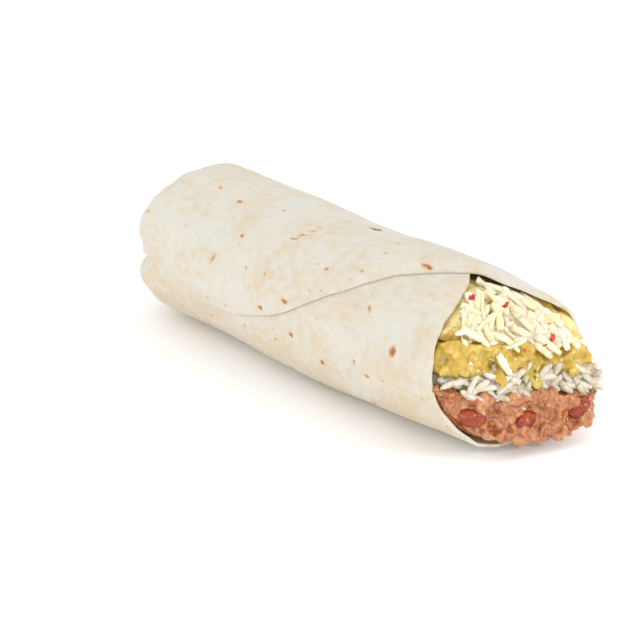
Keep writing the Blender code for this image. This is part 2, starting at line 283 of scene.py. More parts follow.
def toasting(x, phi):
    """How toasted the dough is at each point, from the marks."""
    amount = np.zeros_like(x)
    for mark_x, mark_phi, length, width, turn, strength in TOAST:
        along, around = x - mark_x, (phi - mark_phi) * MM_PER_DEGREE
        c, s = math.cos(math.radians(turn)), math.sin(math.radians(turn))
        reach = ((along * c + around * s) / length) ** 2 + ((around * c - along * s) / width) ** 2
        amount = np.maximum(amount, strength * np.exp(-0.7 * reach))
    return amount


def roll_tortilla():
    """The flour tortilla: a flat grid rolled up by moving its vertices, then given its thickness."""
    deselect()
    bpy.ops.mesh.primitive_grid_add(x_subdivisions=SPAN_ROUND, y_subdivisions=SPAN_ALONG, size=2)
    sheet = bpy.context.object
    sheet.name = "rolled_tortilla"
    mesh = sheet.data
    flat = corners(mesh) * MM
    u, v = (flat[:, 0] + 1) / 2, (flat[:, 1] + 1) / 2
    tuck_to, fold_to = 0.02, 0.22
    tuck = 3.0 * (1 - np.clip(v / tuck_to, 0, 1))
    fold = math.pi * (1 - np.clip((v - tuck_to) / (fold_to - tuck_to), 0, 1))
    share = np.clip((v - fold_to) / (1 - fold_to), 0, 1)
    edge = through(FLAP_EDGE, share)
    phi = PHI_START + u * (edge - PHI_START)
    x = X_FOLD + (through(MOUTH_RIM, phi) - X_FOLD) * share
    ragged = 0.25 * np.sin(phi / 9.1) + 0.12 * np.sin(phi / 3.7 + 1) + 0.3 * np.sin(phi / 23)
    x = x + ragged * ease(0.93, 1.0, share)
    from_edge = (edge - phi) * MM_PER_DEGREE
    depth = (SHEET_THICKNESS + LAYER_GAP) * (1 - ease(PHI_DEEP, PHI_OUTER, phi))
    depth = depth * (1 + 0.15 * (1 - np.cos(fold)) / 2)
    pressed = (1.2 + 0.35 * ease(0.42, 0.6, share)) * (1 - ease(0, 7, from_edge))
    normal = outward(x, phi, fold, tuck)
    ripple = dough_ripple(x, phi) * (1 - 0.6 * (1 - np.cos(fold)) / 2)
    places = envelope(x, phi, fold, tuck) - normal * (depth + pressed - ripple)[:, None]
    places[:, 2] = np.maximum(places[:, 2], 0)
    move_corners(mesh, places + ROLL_AT)
    along = np.where(v < fold_to, X_FOLD - 34 * (1 - v / fold_to), x)
    paint(mesh, "toast", toasting(along, phi))
    clean = 0.7 * ease(50, 80, phi) * (1 - ease(200, 250, phi))
    paint(mesh, "grease", ease(-7, 0.5, x - through(MOUTH_RIM, phi) + 0.8) * (share > 0.5) * (1 - clean))
    # painted shade: marks the underside and the lower near side, where the dough colour is darkened
    paint(mesh, "painted_underside_shade", ease(70, 115, phi) * (1 - ease(230, 300, phi)))
    sheet_mm = np.stack([along, phi * MM_PER_DEGREE], -1) / 100
    loops = np.empty(len(mesh.loops), np.int32)
    mesh.loops.foreach_get("vertex_index", loops)
    mesh.uv_layers[0].name = "sheet"
    mesh.uv_layers["sheet"].data.foreach_set("uv", sheet_mm[loops].astype(np.float32).ravel())
    thin = sheet.vertex_groups.new(name="thickness")
    at_mouth = 1 - 0.45 * ease(0.955, 0.995, share)
    for index, share_left in enumerate(np.clip(0.35 + from_edge / 5 * 0.65, 0, 1) * at_mouth):
        thin.add([index], float(share_left), "REPLACE")
    wall = sheet.modifiers.new("wall", "SOLIDIFY")
    wall.thickness = SHEET_THICKNESS * MM
    wall.offset = -1
    wall.vertex_group = "thickness"
    wall.material_offset = 1
    sheet.data.materials.append(None)
    sheet.data.materials.append(None)
    return sheet


def faces_out(piece):
    """Recalculate a closed piece's normals."""
    pick(piece)
    bpy.ops.object.mode_set(mode="EDIT")
    bpy.ops.mesh.select_all(action="SELECT")
    bpy.ops.mesh.normals_make_consistent(inside=False)
    bpy.ops.object.mode_set(mode="OBJECT")


# ---------------------------------------------------------------- materials


def wheat_dough(name, greasy):
    """Soft wheat flour tortilla, griddled: a dull floury skin, cream where thick and tan where it
    met the griddle, with browned blisters. It lets a little light in. The inner face is greasy."""
    made, tree, shader = new_material(name)
    sheet = node(tree, "ShaderNodeUVMap", uv_map="sheet").outputs["UV"]
    toast = node(tree, "ShaderNodeAttribute", attribute_name="toast").outputs["Fac"]
    grease = node(tree, "ShaderNodeAttribute", attribute_name="grease").outputs["Fac"]
    under = node(tree, "ShaderNodeAttribute", attribute_name="painted_underside_shade").outputs["Fac"]
    # one unit of the sheet's map is 100 mm: a scale of 5 is a patch of 20 mm
    patches = node(tree, "ShaderNodeTexNoise", {"Vector": sheet, "Scale": 5.0, "Detail": 3.0})
    flour = node(tree, "ShaderNodeTexNoise",
                 {"Vector": sheet, "Scale": 30.0, "Detail": 5.0, "Roughness": 0.6})
    grain = node(tree, "ShaderNodeTexNoise",
                 {"Vector": sheet, "Scale": 150.0, "Detail": 3.0, "Roughness": 0.6})
    mottle = node(tree, "ShaderNodeMath", {0: patches.outputs["Fac"], 1: flour.outputs["Fac"]},
                  operation="ADD")
    # painted shade: underneath, the dough is pulled towards its darker tan stops
    mottle = node(tree, "ShaderNodeMath", {0: under, 1: -0.15, 2: mottle.outputs[0]},
                  operation="MULTIPLY_ADD")
    mottle = node(tree, "ShaderNodeMath", {0: mottle.outputs[0], 1: 0.5}, operation="MULTIPLY")
    dough = node(tree, "ShaderNodeValToRGB", {"Fac": mottle.outputs[0]}, stops=[
        (0.38, linear("C9B9A0")), (0.45, linear("C9C0AE")), (0.51, linear("CAC5B8")),
        (0.58, linear("CBC8BE")),
    ])
    dough = dough.outputs["Color"]
    # specks of about a millimetre, one in every other cell of 9 mm
    wander = node(tree, "ShaderNodeTexNoise", {"Vector": sheet, "Scale": 70.0, "Detail": 2.0})
    bent = node(tree, "ShaderNodeMix", {0: 0.035, 4: sheet, 5: wander.outputs["Color"]}, data_type="VECTOR")
    cells = node(tree, "ShaderNodeTexVoronoi", {"Vector": bent.outputs[1], "Scale": 11.0, "Randomness": 1.0})
    cell_value = node(tree, "ShaderNodeSeparateColor", {"Color": cells.outputs["Color"]})
    chosen = node(tree, "ShaderNodeMapRange", {
        "Value": cell_value.outputs[0], "From Min": 0.5, "From Max": 1.0, "To Min": 0.02, "To Max": 0.13,
    })
    near = node(tree, "ShaderNodeMath", {0: chosen.outputs[0], 1: cells.outputs["Distance"]},
                operation="SUBTRACT")
    speck = node(tree, "ShaderNodeMapRange", {
        "Value": near.outputs[0], "From Min": -0.02, "From Max": 0.07, "To Min": 0.0, "To Max": 0.62,
    }, interpolation_type="SMOOTHSTEP")
    # ragged edges of the marks: the dough browns first on its tiny bumps
    ragged = node(tree, "ShaderNodeTexNoise",
                  {"Vector": sheet, "Scale": 95.0, "Detail": 4.0, "Roughness": 0.7})
    ragged = node(tree, "ShaderNodeMapRange", {
        "Value": ragged.outputs["Fac"], "From Min": 0.3, "From Max": 0.7, "To Min": 0.55, "To Max": 1.25,
    })
    marks = node(tree, "ShaderNodeMath", {0: toast, 1: speck.outputs[0]}, operation="MAXIMUM")
    marks = node(tree, "ShaderNodeMath", {0: marks.outputs[0], 1: ragged.outputs[0]}, operation="MULTIPLY")
    browning = node(tree, "ShaderNodeValToRGB", {"Fac": marks.outputs[0]}, stops=[
        (0.0, 0.0), (0.16, 0.0), (0.38, 0.28), (0.62, 0.85), (1.0, 1.0),
    ])
    brown = node(tree, "ShaderNodeValToRGB", {"Fac": marks.outputs[0]}, stops=[
        (0.2, linear("DDBE90")), (0.5, linear("C89660")), (0.72, linear("A0622E")), (1.0, linear("643818")),
    ])
    color = node(tree, "ShaderNodeMix", {0: browning.outputs["Color"], 6: dough, 7: brown.outputs["Color"]},
                 data_type="RGBA")
    stain = node(tree, "ShaderNodeMath", {0: grease, 1: 0.95 if greasy else 0.1}, operation="MULTIPLY")
    color = node(tree, "ShaderNodeMix", {0: stain.outputs[0], 6: color.outputs[2], 7: linear("E8CF8C")},
                 data_type="RGBA")
    tree.links.new(color.outputs[2], shader.inputs["Base Color"])
    shader.inputs["Roughness"].default_value = 0.42 if greasy else 0.72
    shader.inputs["IOR"].default_value = 1.42
    shader.inputs["Specular IOR Level"].default_value = 0.35
    shader.inputs["Subsurface Weight"].default_value = 0.2
    shader.inputs["Subsurface Radius"].default_value = (1.0, 0.7, 0.4)
    shader.inputs["Subsurface Scale"].default_value = 2.5 * MM
    swell = node(tree, "ShaderNodeTexNoise", {"Vector": sheet, "Scale": 22.0, "Detail": 3.0})
    low = node(tree, "ShaderNodeBump",
               {"Height": swell.outputs["Fac"], "Strength": 0.35, "Distance": 0.9 * MM})
    pores = node(tree, "ShaderNodeBump", {
        "Height": grain.outputs["Fac"], "Normal": low.outputs[0], "Strength": 0.3, "Distance": 0.25 * MM,
    })
    blister = node(tree, "ShaderNodeBump", {
        "Height": marks.outputs[0], "Normal": pores.outputs[0], "Strength": 0.35, "Distance": 0.4 * MM,
    })
    tree.links.new(blister.outputs[0], shader.inputs["Normal"])
    return made


def bean_paste():
    """Refried pinto beans, mashed and fried: a wet pinkish-brown paste with darker skins in it and
    small sharp highlights where fat and water stand on the lumps."""
    made, tree, shader = new_material("refried_bean_paste")
    place = node(tree, "ShaderNodeTexCoord").outputs["Object"]
    # object coordinates are metres: 150 is a lump of 6.7 mm and 430 a crumb of 2.3 mm
    lumps = node(tree, "ShaderNodeTexNoise", {
        "Vector": place, "Scale": 150.0, "Detail": 4.0, "Roughness": 0.6, "Distortion": 1.4,
    })
    crumbs = node(tree, "ShaderNodeTexNoise", {
        "Vector": place, "Scale": 430.0, "Detail": 4.0, "Roughness": 0.6, "Distortion": 0.8,
    })
    paste = node(tree, "ShaderNodeValToRGB", {"Fac": lumps.outputs["Fac"]}, stops=[
        (0.34, linear("7E3A16")), (0.45, linear("A86232")), (0.56, linear("C17F46")),
        (0.68, linear("DAA878")),
    ])
    skins = node(tree, "ShaderNodeValToRGB", {"Fac": crumbs.outputs["Fac"]}, stops=[
        (0.0, linear("6A240A")), (0.38, linear("8E4217")), (0.5, linear("BC7A4C")), (0.8, linear("DBAA84")),
    ])
    color = node(tree, "ShaderNodeMix", {0: 0.42, 6: paste.outputs["Color"], 7: skins.outputs["Color"]},
                 data_type="RGBA")
    tree.links.new(color.outputs[2], shader.inputs["Base Color"])
    shader.inputs["Roughness"].default_value = 0.26
    shader.inputs["IOR"].default_value = 1.42
    shader.inputs["Coat Weight"].default_value = 0.8
    shader.inputs["Coat Roughness"].default_value = 0.1
    shader.inputs["Subsurface Weight"].default_value = 0.15
    shader.inputs["Subsurface Radius"].default_value = (1.0, 0.45, 0.25)
    shader.inputs["Subsurface Scale"].default_value = 1.5 * MM
    rough = node(tree, "ShaderNodeBump",
                 {"Height": crumbs.outputs["Fac"], "Strength": 0.45, "Distance": 0.7 * MM})
    tree.links.new(rough.outputs[0], shader.inputs["Normal"])
    return made


def bean_skin():
    """Skin of a cooked pinto bean: smooth, wet and red-brown, with paler scuffs."""
    made, tree, shader = new_material("cooked_bean_skin")
    place = node(tree, "ShaderNodeTexCoord").outputs["Object"]
    streaks = node(tree, "ShaderNodeTexNoise",
                   {"Vector": place, "Scale": 330.0, "Detail": 4.0, "Distortion": 1.2})
    skin = node(tree, "ShaderNodeValToRGB", {"Fac": streaks.outputs["Fac"]}, stops=[
        (0.3, linear("6A1C03")), (0.5, linear("923006")), (0.64, linear("A6480F")), (0.8, linear("BC7236")),
    ])
    tree.links.new(skin.outputs["Color"], shader.inputs["Base Color"])
    shader.inputs["Roughness"].default_value = 0.22
    shader.inputs["IOR"].default_value = 1.45
    shader.inputs["Coat Weight"].default_value = 0.3
    shader.inputs["Coat Roughness"].default_value = 0.08
    fine = node(tree, "ShaderNodeBump",
                {"Height": streaks.outputs["Fac"], "Strength": 0.3, "Distance": 0.4 * MM})
    tree.links.new(fine.outputs[0], shader.inputs["Normal"])
    return made


def green_chile_sauce(name, soaked):
    """Tomatillo and green chile sauce, cooked thick: a clear yellow-green jelly with pulp in it. Light
    goes some way in, and the wet surface shines. Over soaked cheese it is paler."""
    made, tree, shader = new_material(name)
    place = node(tree, "ShaderNodeTexCoord").outputs["Object"]
    pulp = node(tree, "ShaderNodeTexNoise",
                {"Vector": place, "Scale": 240.0, "Detail": 4.0, "Roughness": 0.6})
    clear = ("B5952E", "C3A23C", "CFB156", "E0CB88")
    pale = ("CFAE50", "DAC074", "E4D092", "ECDFB4")
    shades = [linear(shade) for shade in (pale if soaked else clear)]
    jelly = node(tree, "ShaderNodeValToRGB", {"Fac": pulp.outputs["Fac"]},
                 stops=list(zip((0.28, 0.46, 0.6, 0.75), shades)))
    tree.links.new(jelly.outputs["Color"], shader.inputs["Base Color"])
    shader.inputs["Roughness"].default_value = 0.12
    shader.inputs["IOR"].default_value = 1.38
    shader.inputs["Coat Weight"].default_value = 0.6
    shader.inputs["Coat Roughness"].default_value = 0.05
    shader.inputs["Subsurface Weight"].default_value = 0.75
    shader.inputs["Subsurface Radius"].default_value = (1.0, 0.75, 0.25)
    shader.inputs["Subsurface Scale"].default_value = 4.0 * MM
    fine = node(tree, "ShaderNodeBump",
                {"Height": pulp.outputs["Fac"], "Strength": 0.4, "Distance": 0.8 * MM})
    tree.links.new(fine.outputs[0], shader.inputs["Normal"])
    return made


def boiled_rice():
    """Long-grain white rice, boiled: plump translucent grains, dull to satin, whiter at the core."""
    made, tree, shader = new_material("boiled_white_rice")
    place = node(tree, "ShaderNodeTexCoord").outputs["Object"]
    tint = node(tree, "ShaderNodeAttribute", attribute_name="tint").outputs["Fac"]
    cloudy = node(tree, "ShaderNodeTexNoise", {"Vector": place, "Scale": 420.0, "Detail": 3.0})
    mixed = node(tree, "ShaderNodeMath", {0: tint, 1: cloudy.outputs["Fac"]}, operation="MULTIPLY_ADD")
    mixed.inputs[1].default_value = 0.5
    tree.links.new(cloudy.outputs["Fac"], mixed.inputs[2])
    starch = node(tree, "ShaderNodeValToRGB", {"Fac": mixed.outputs[0]}, stops=[
        (0.35, linear("A18A68")), (0.6, linear("BEAF94")), (0.95, linear("D6CFC0")),
    ])
    tree.links.new(starch.outputs["Color"], shader.inputs["Base Color"])
    shader.inputs["Roughness"].default_value = 0.36
    shader.inputs["IOR"].default_value = 1.4
    shader.inputs["Subsurface Weight"].default_value = 0.35
    shader.inputs["Subsurface Radius"].default_value = (1.0, 0.9, 0.7)
    shader.inputs["Subsurface Scale"].default_value = 1.2 * MM
    return made


def pale_cheese():
    """Grated mild white and yellow cheese: firm curd with a torn dull face that is just sweating fat."""
    made, tree, shader = new_material("grated_pale_cheese")
    place = node(tree, "ShaderNodeTexCoord").outputs["Object"]
    tint = node(tree, "ShaderNodeAttribute", attribute_name="tint").outputs["Fac"]
    curd = node(tree, "ShaderNodeTexNoise",
                {"Vector": place, "Scale": 520.0, "Detail": 4.0, "Roughness": 0.65})
    mixed = node(tree, "ShaderNodeMath", {0: tint, 2: curd.outputs["Fac"]}, operation="MULTIPLY_ADD")
    mixed.inputs[1].default_value = 0.55
    color = node(tree, "ShaderNodeValToRGB", {"Fac": mixed.outputs[0]}, stops=[
        (0.3, linear("E6CB8A")), (0.55, linear("ECDAA8")), (0.8, linear("F0E3C0")), (1.0, linear("F2E9D2")),
    ])
    tree.links.new(color.outputs["Color"], shader.inputs["Base Color"])
    shader.inputs["Roughness"].default_value = 0.42
    shader.inputs["IOR"].default_value = 1.45
    shader.inputs["Subsurface Weight"].default_value = 0.35
    shader.inputs["Subsurface Radius"].default_value = (1.0, 0.8, 0.45)
    shader.inputs["Subsurface Scale"].default_value = 1.8 * MM
    torn = node(tree, "ShaderNodeBump",
                {"Height": curd.outputs["Fac"], "Strength": 0.35, "Distance": 0.3 * MM})
    tree.links.new(torn.outputs[0], shader.inputs["Normal"])
    return made


def leaf_and_flake(name, dark, light, gloss):
    """Chopped herb leaf or dried chile flake: a thin wet scrap, darker along its folds."""
    made, tree, shader = new_material(name)
    place = node(tree, "ShaderNodeTexCoord").outputs["Object"]
    veins = node(tree, "ShaderNodeTexNoise", {"Vector": place, "Scale": 700.0, "Detail": 2.0})
    color = node(tree, "ShaderNodeValToRGB", {"Fac": veins.outputs["Fac"]}, stops=[
        (0.35, linear(dark)), (0.65, linear(light)),
    ])
    tree.links.new(color.outputs["Color"], shader.inputs["Base Color"])
    shader.inputs["Roughness"].default_value = gloss
    return made


# ---------------------------------------------------------------- fillings


def copy_of(name, new_name):
    """A merged copy of a solid, to be worked on."""
    mesh = solids[name].data.copy()
    mesh.materials.clear()
    piece = bpy.data.objects.new(new_name, mesh)
    bpy.context.scene.collection.objects.link(piece)
    pick(piece)
    bpy.ops.object.mode_set(mode="EDIT")
    bpy.ops.mesh.select_all(action="SELECT")
    bpy.ops.mesh.remove_doubles(threshold=0.00001)
    bpy.ops.object.mode_set(mode="OBJECT")
    return piece


def remesh(piece, size):
    """Even the mesh out to cells of that many millimetres."""
    even = piece.modifiers.new("even", "REMESH")
    even.mode = "VOXEL"
    even.voxel_size = size * MM
    apply_all(piece)


def front_share(mesh):
    """1 where a filling faces out of the mouth or stands outside the rim, 0 where the sheet hides it."""
    places = corners(mesh)
    normals = np.empty(len(mesh.vertices) * 3, np.float32)
    mesh.vertex_normals.foreach_get("vector", normals)
    normals = normals.reshape(-1, 3)
    facing = ease(0.1, 0.55, normals[:, 0] + 0.25 * normals[:, 2]) * ease(42, 50, places[:, 0])
    outside = ease(X_MOUTH + 1.5, X_MOUTH + 3.5, places[:, 0])
    return np.maximum(facing, outside)


def refine_front(piece, cuts):
    """Subdivide only the faces that show at the mouth."""
    pick(piece)
    share = front_share(piece.data)
    bpy.ops.object.mode_set(mode="EDIT")
    bpy.ops.mesh.select_mode(type="FACE")
    bpy.ops.mesh.select_all(action="DESELECT")
    edit = bmesh.from_edit_mesh(piece.data)
    for face in edit.faces:
        face.select = any(share[vertex.index] > 0.05 for vertex in face.verts)
    bmesh.update_edit_mesh(piece.data)
    for _ in range(cuts):
        bpy.ops.mesh.subdivide(number_cuts=1, smoothness=0.6)
    bpy.ops.object.mode_set(mode="OBJECT")


def lump(piece, sizes):
    """Push the front in and out by soft lumps; each of sizes is (lump size, height) in millimetres."""
    group = piece.vertex_groups.new(name="front")
    for index, value in enumerate(front_share(piece.data)):
        group.add([index], float(value), "REPLACE")
    for size, height in sizes:
        cloud = bpy.data.textures.new(f"{piece.name}_{size}", "CLOUDS")
        cloud.noise_scale = size * MM
        cloud.noise_depth = 2
        push = piece.modifiers.new(f"lump_{size}", "DISPLACE")
        push.texture = cloud
        push.texture_coords = "LOCAL"
        push.vertex_group = "front"
        push.mid_level = 0.5
        push.strength = height * MM
    apply_all(piece)


def finish_piece(piece, surface, slot, *stands_for):
    """Give the piece its material, its place on the body and the solids it stands for."""
    piece.data.materials.clear()
    piece.data.materials.append(surface)
    pick(piece)
    bpy.ops.object.shade_smooth()
    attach(piece, "root")
    if stands_for:
        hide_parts(*stands_for)


def set_back(piece, distance):
    """Pull a core's front back, so that the loose pieces lie over it."""
    places = corners(piece.data)
    share = front_share(piece.data)
    places[:, 0] -= distance * share
    move_corners(piece.data, places)


def scatter(name, models, placements, surface, slot):
    """Copies of small models, each with its own mesh and tint, joined into one piece."""
    made = []
    for index, (which, matrix, tint) in enumerate(placements):
        mesh = models[which].data.copy()
        mesh.transform(matrix)
        paint(mesh, "tint", np.full(len(mesh.vertices), tint))
        copy = bpy.data.objects.new(f"{name}_{index}", mesh)
        bpy.context.scene.collection.objects.link(copy)
        made.append(copy)
    deselect()
    for copy in made:
        copy.select_set(True)
    bpy.context.view_layer.objects.active = made[0]
    bpy.ops.object.join()
    piece = bpy.context.object
    piece.name = name
    piece.data.name = name
    finish_piece(piece, surface, slot)
    return piece


def discard(models):
    for model in models:
        bpy.data.objects.remove(model)


def facing_matrix(place, along, flat):
    """Turn a model's X to along and its Z as near as it goes to flat, at that place."""
    x = along.normalized()
    y = flat.cross(x).normalized()
    return Matrix.Translation(place) @ Matrix((x, y, x.cross(y))).transposed().to_4x4()


def clear_of(tree, model, matrix):
    """Whether a placed model stays clear of the tortilla."""
    placed = BVHTree.FromPolygons(
        [matrix @ v.co for v in model.data.vertices], [p.vertices[:] for p in model.data.polygons]
    )
    return not placed.overlap(tree)


# Rice grains: length, width and curve in millimetres
GRAIN_SHAPES = ((8.0, 2.4, 0.5), (7.2, 2.5, -0.4), (8.4, 2.3, 0.8), (6.4, 2.6, 0.2))


def model_grains():
    """Four boiled rice grains: long eggs with blunt tips and a little curve."""
    models = []
    for index, (length, width, curve) in enumerate(GRAIN_SHAPES):
        deselect()
        bpy.ops.mesh.primitive_uv_sphere_add(segments=8, ring_count=8, radius=1, rotation=(0, math.pi / 2, 0))
        bpy.ops.object.transform_apply(location=False, rotation=True, scale=True)
        grain = bpy.context.object
        grain.name = f"grain_model_{index}"
        places = corners(grain.data) * MM
        along = places[:, 0]
        round_end = np.sqrt((1 - along**4) / np.maximum(1 - along**2, 0.02))
        thick = (1 - 0.12 * along) * width / 2 * round_end * 0.93
        move_corners(grain.data, np.stack([
            along * length / 2,
            places[:, 1] * thick + curve * (along**2 - 0.5),
            places[:, 2] * thick * 0.86,
        ], -1))
        bpy.ops.object.shade_smooth()
        models.append(grain)
    return models


def lengthwise(edit):
    """The edges that run along X from end to end."""
    return [edge for edge in edit.edges if abs(edge.verts[0].co.x - edge.verts[1].co.x) > 1]


# Cheese shreds: length, width, thickness and bend in millimetres, and twist in degrees
SHRED_SHAPES = (
    (20, 2.3, 1.6, 2.6, 30), (15, 2.5, 1.5, -1.6, -40), (23, 2.2, 1.6, 3.4, 45),
    (11, 2.4, 1.6, 0.8, 15), (17, 2.6, 1.5, -2.2, 50), (8, 2.3, 1.6, 0.4, -20),
)
SHRED_LENGTHS = tuple(shape[0] for shape in SHRED_SHAPES)


def model_shreds():
    """Six cheese shreds from a grater: square strips, bent and twisted, thinner towards one end."""
    models = []
    for index, (length, width, thick, bend, twist) in enumerate(SHRED_SHAPES):
        deselect()
        bpy.ops.mesh.primitive_cube_add(size=2)
        shred = bpy.context.object
        shred.name = f"shred_model_{index}"
        bpy.ops.object.mode_set(mode="EDIT")
        edit = bmesh.from_edit_mesh(shred.data)
        bmesh.ops.bevel(edit, geom=lengthwise(edit), offset=0.5, segments=1, affect="EDGES")
        bmesh.ops.subdivide_edges(edit, edges=lengthwise(edit), cuts=6, use_grid_fill=True)
        bmesh.update_edit_mesh(shred.data)
        bpy.ops.object.mode_set(mode="OBJECT")
        places = corners(shred.data) * MM
        along = places[:, 0]
        taper = 1 - 0.2 * ease(0.0, 1.0, along) - 0.2 * ease(0.8, 1.0, abs(along))
        uneven = 1 + 0.10 * np.sin(along * 5 + index) + 0.06 * np.sin(along * 11 + 2 * index)
        y = places[:, 1] * width / 2 * taper * uneven
        z = places[:, 2] * thick / 2 * taper / uneven
        turn = np.radians(twist) * along / 2
        move_corners(shred.data, np.stack([
            along * length / 2,
            y * np.cos(turn) - z * np.sin(turn),
            y * np.sin(turn) + z * np.cos(turn) - bend * (along**2 - 0.4) + 0.3 * np.sin(along * 4 + index),
        ], -1))
        bpy.ops.object.shade_smooth()
        models.append(shred)
    return models


def model_scraps(count, size, thickness):
    """Thin torn scraps: an uneven disc of that many millimetres, cupped and given a thickness."""
    models = []
    for index in range(count):
        deselect()
        bpy.ops.mesh.primitive_circle_add(vertices=9, radius=1, fill_type="TRIFAN")
        scrap = bpy.context.object
        scrap.name = f"scrap_model_{size}_{index}"
        places = corners(scrap.data) * MM
        angle = np.arctan2(places[:, 1], places[:, 0])
        uneven = 0.7 + 0.3 * np.sin(2 * angle + index) + 0.2 * np.sin(5 * angle + 2 * index)
        x, y = places[:, 0] * uneven * size * 0.6, places[:, 1] * uneven * size * 0.38
        move_corners(scrap.data, np.stack([x, y, 0.12 * (x**2 - y**2) / size], -1))
        wall = scrap.modifiers.new("wall", "SOLIDIFY")
        wall.thickness = thickness * MM
        apply_all(scrap)
        faces_out(scrap)
        models.append(scrap)
    return models


def spot_on(tree, y, z):
    """Point and normal where a line from in front of the mouth meets a surface, or None."""
    hit = tree.ray_cast(Vector((0.2, y * MM, z * MM)), Vector((-1, 0, 0)))
    return (hit[0], hit[1]) if hit[0] and hit[0].x > 40 * MM else None


WHOLE_BEANS = ("whole_bean_left", "whole_bean_middle", "whole_bean_right")
# Where sauce runs down over the rice: Y, how far down and how wide
DRIPS = [(-17, 2.2, 3.5), (-7.5, 3.6, 2.6), (0.5, 1.2, 2.0), (6.5, 5.2, 2.4), (14, 1.6, 3.0), (24, 2.6, 3.4)]


def run_down(sauce):
    """Let the sauce's lower edge hang over the rice in rounded drips."""
    places = corners(sauce.data)
    share = front_share(sauce.data)
    low = share * (1 - ease(24, 31, places[:, 2]))
    drop = sum(down * np.exp(-(((places[:, 1] - y) / wide) ** 2)) for y, down, wide in DRIPS)
    places[:, 2] -= low * (drop + 0.6)
    places[:, 0] += low * (0.6 + 0.35 * drop)
    move_corners(sauce.data, places)


def fill_corner(core):
    """Bring the cheese core's front nearer the far wall's rim than its cut does."""
    places = corners(core.data)
    share = front_share(core.data)
    places[:, 0] += share * (-2.5 + 8.5 * ease(2, 26, places[:, 1]))
    top = 5 * ease(37, 44, places[:, 2]) * ease(44, 50, places[:, 0])
    places[:, 0] += top * (1 - 0.6 * ease(2, 20, places[:, 1]))
    middle = places[:, 1:].mean(0)
    places[:, 1:] += (middle - places[:, 1:]) * 0.03 * share[:, None]
    move_corners(core.data, places)


# The shreds on top, and the chile flakes: how far right and up of the camera's aim they lie
TOP_SHREDS = [
    (37.9, 6.1, 47.0, -5.8), (40.0, 6.8, 51.3, 5.0), (33.0, -6.2, 50.2, -9.6), (49.2, -1.5, 58.9, -9.0),
    (50.8, -4.7, 55.6, -13.3), (56.2, -5.8, 72.5, -14.4), (57.8, -5.2, 73.0, -10.1),
    (55.6, -12.2, 62.7, -18.7),
    (45.4, -17.6, 49.2, -24.1), (36.8, -0.9, 38.5, -10.2), (34.2, -9.6, 39.6, -13.2), (47.6, 4.5, 51.3, 0.2),
    (62.1, -4.2, 70.2, -6.8), (43.2, 2.3, 45.9, -3.1), (35.5, 2.0, 40.5, -9.5), (52, 2.2, 62, -5.0),
    (37.2, 8.2, 44.5, 3.0), (46, 3.8, 58, -2.2), (58.5, -2.2, 66.0, -8.2), (47.5, -7.5, 57.5, -10.5),
]
CHILE_FLAKES = [(36.6, 1.1, 1.2), (47.6, -1.8, 1.1), (63.1, -11.5, 1.3), (54, -16, 0.5)]
HERB_SCRAPS = [(68.9, -5.3, 0.9), (34.9, -12.1, 0.9), (52.5, -5.5, 0.6), (45.0, 2.0, 0.5), (60.5, -14.5, 0.5)]


def seen_at(trees, right, up):
    """The nearest point of these surfaces that many millimetres right and up of the camera's aim."""
    ray = AIM + (view_right * right + view_up * up) * MM - camera.location
    hits = [tree.ray_cast(camera.location, ray.normalized()) for tree in trees]
    hits = [hit for hit in hits if hit[0]]
    return min(hits, key=lambda hit: hit[3])[0] if hits else None


def wobble(amount):
    return Vector([chance.uniform(-amount, amount) for _ in range(3)])


# Lines that the ends of the shreds stay inside, in millimetres right and up of the camera's aim:
# the near rim rises to the right, the top rim falls to the right from where its level part ends
NEAR_RIM_RIGHT, NEAR_RIM_UP, NEAR_RIM_SLOPE = 25.0, -16, 0.42
FAR_RIM_RIGHT = 71
TOP_RIM_RIGHT, TOP_RIM_UP, TOP_RIM_SLOPE, TOP_RIM_LEVEL_TO = 35.5, 9.2, 0.495, 30
# and how far over the aim an end may stand
HIGHEST_END = 22.2


def shows_whole(matrix, length):
    """Whether a shred's two ends stay between the rims, as the camera sees them."""
    for side in (-0.5, 0.5):
        end = (matrix @ Vector((side * length * MM, 0, 0)) - AIM) / MM
        right, up = end.dot(view_right), end.dot(view_up)
        near_rim = NEAR_RIM_RIGHT + (up - NEAR_RIM_UP) * NEAR_RIM_SLOPE
        top_rim = TOP_RIM_UP + TOP_RIM_SLOPE * (TOP_RIM_RIGHT - max(right, TOP_RIM_LEVEL_TO))
        if not near_rim < right < FAR_RIM_RIGHT or up > top_rim or end.z > HIGHEST_END:
            return False
    return True


def lying_on(trees, scraps):
    """Placements of the listed scraps, each flat on what the camera sees there."""
    placements = []
    for right, up, size in scraps:
        place = seen_at(trees, right, up)
        if place:
            matrix = facing_matrix(place + back * 0.4 * MM, wobble(1), back) @ Matrix.Scale(size, 4)
            placements.append((chance.randrange(4), matrix, 0.5))
    return placements


# How many loose pieces are scattered, and how many places are tried for them at most
GRAINS, GRAIN_TRIES = 190, 6000
SHREDS, SHRED_TRIES = 88, 12000
SCRAPS = 46


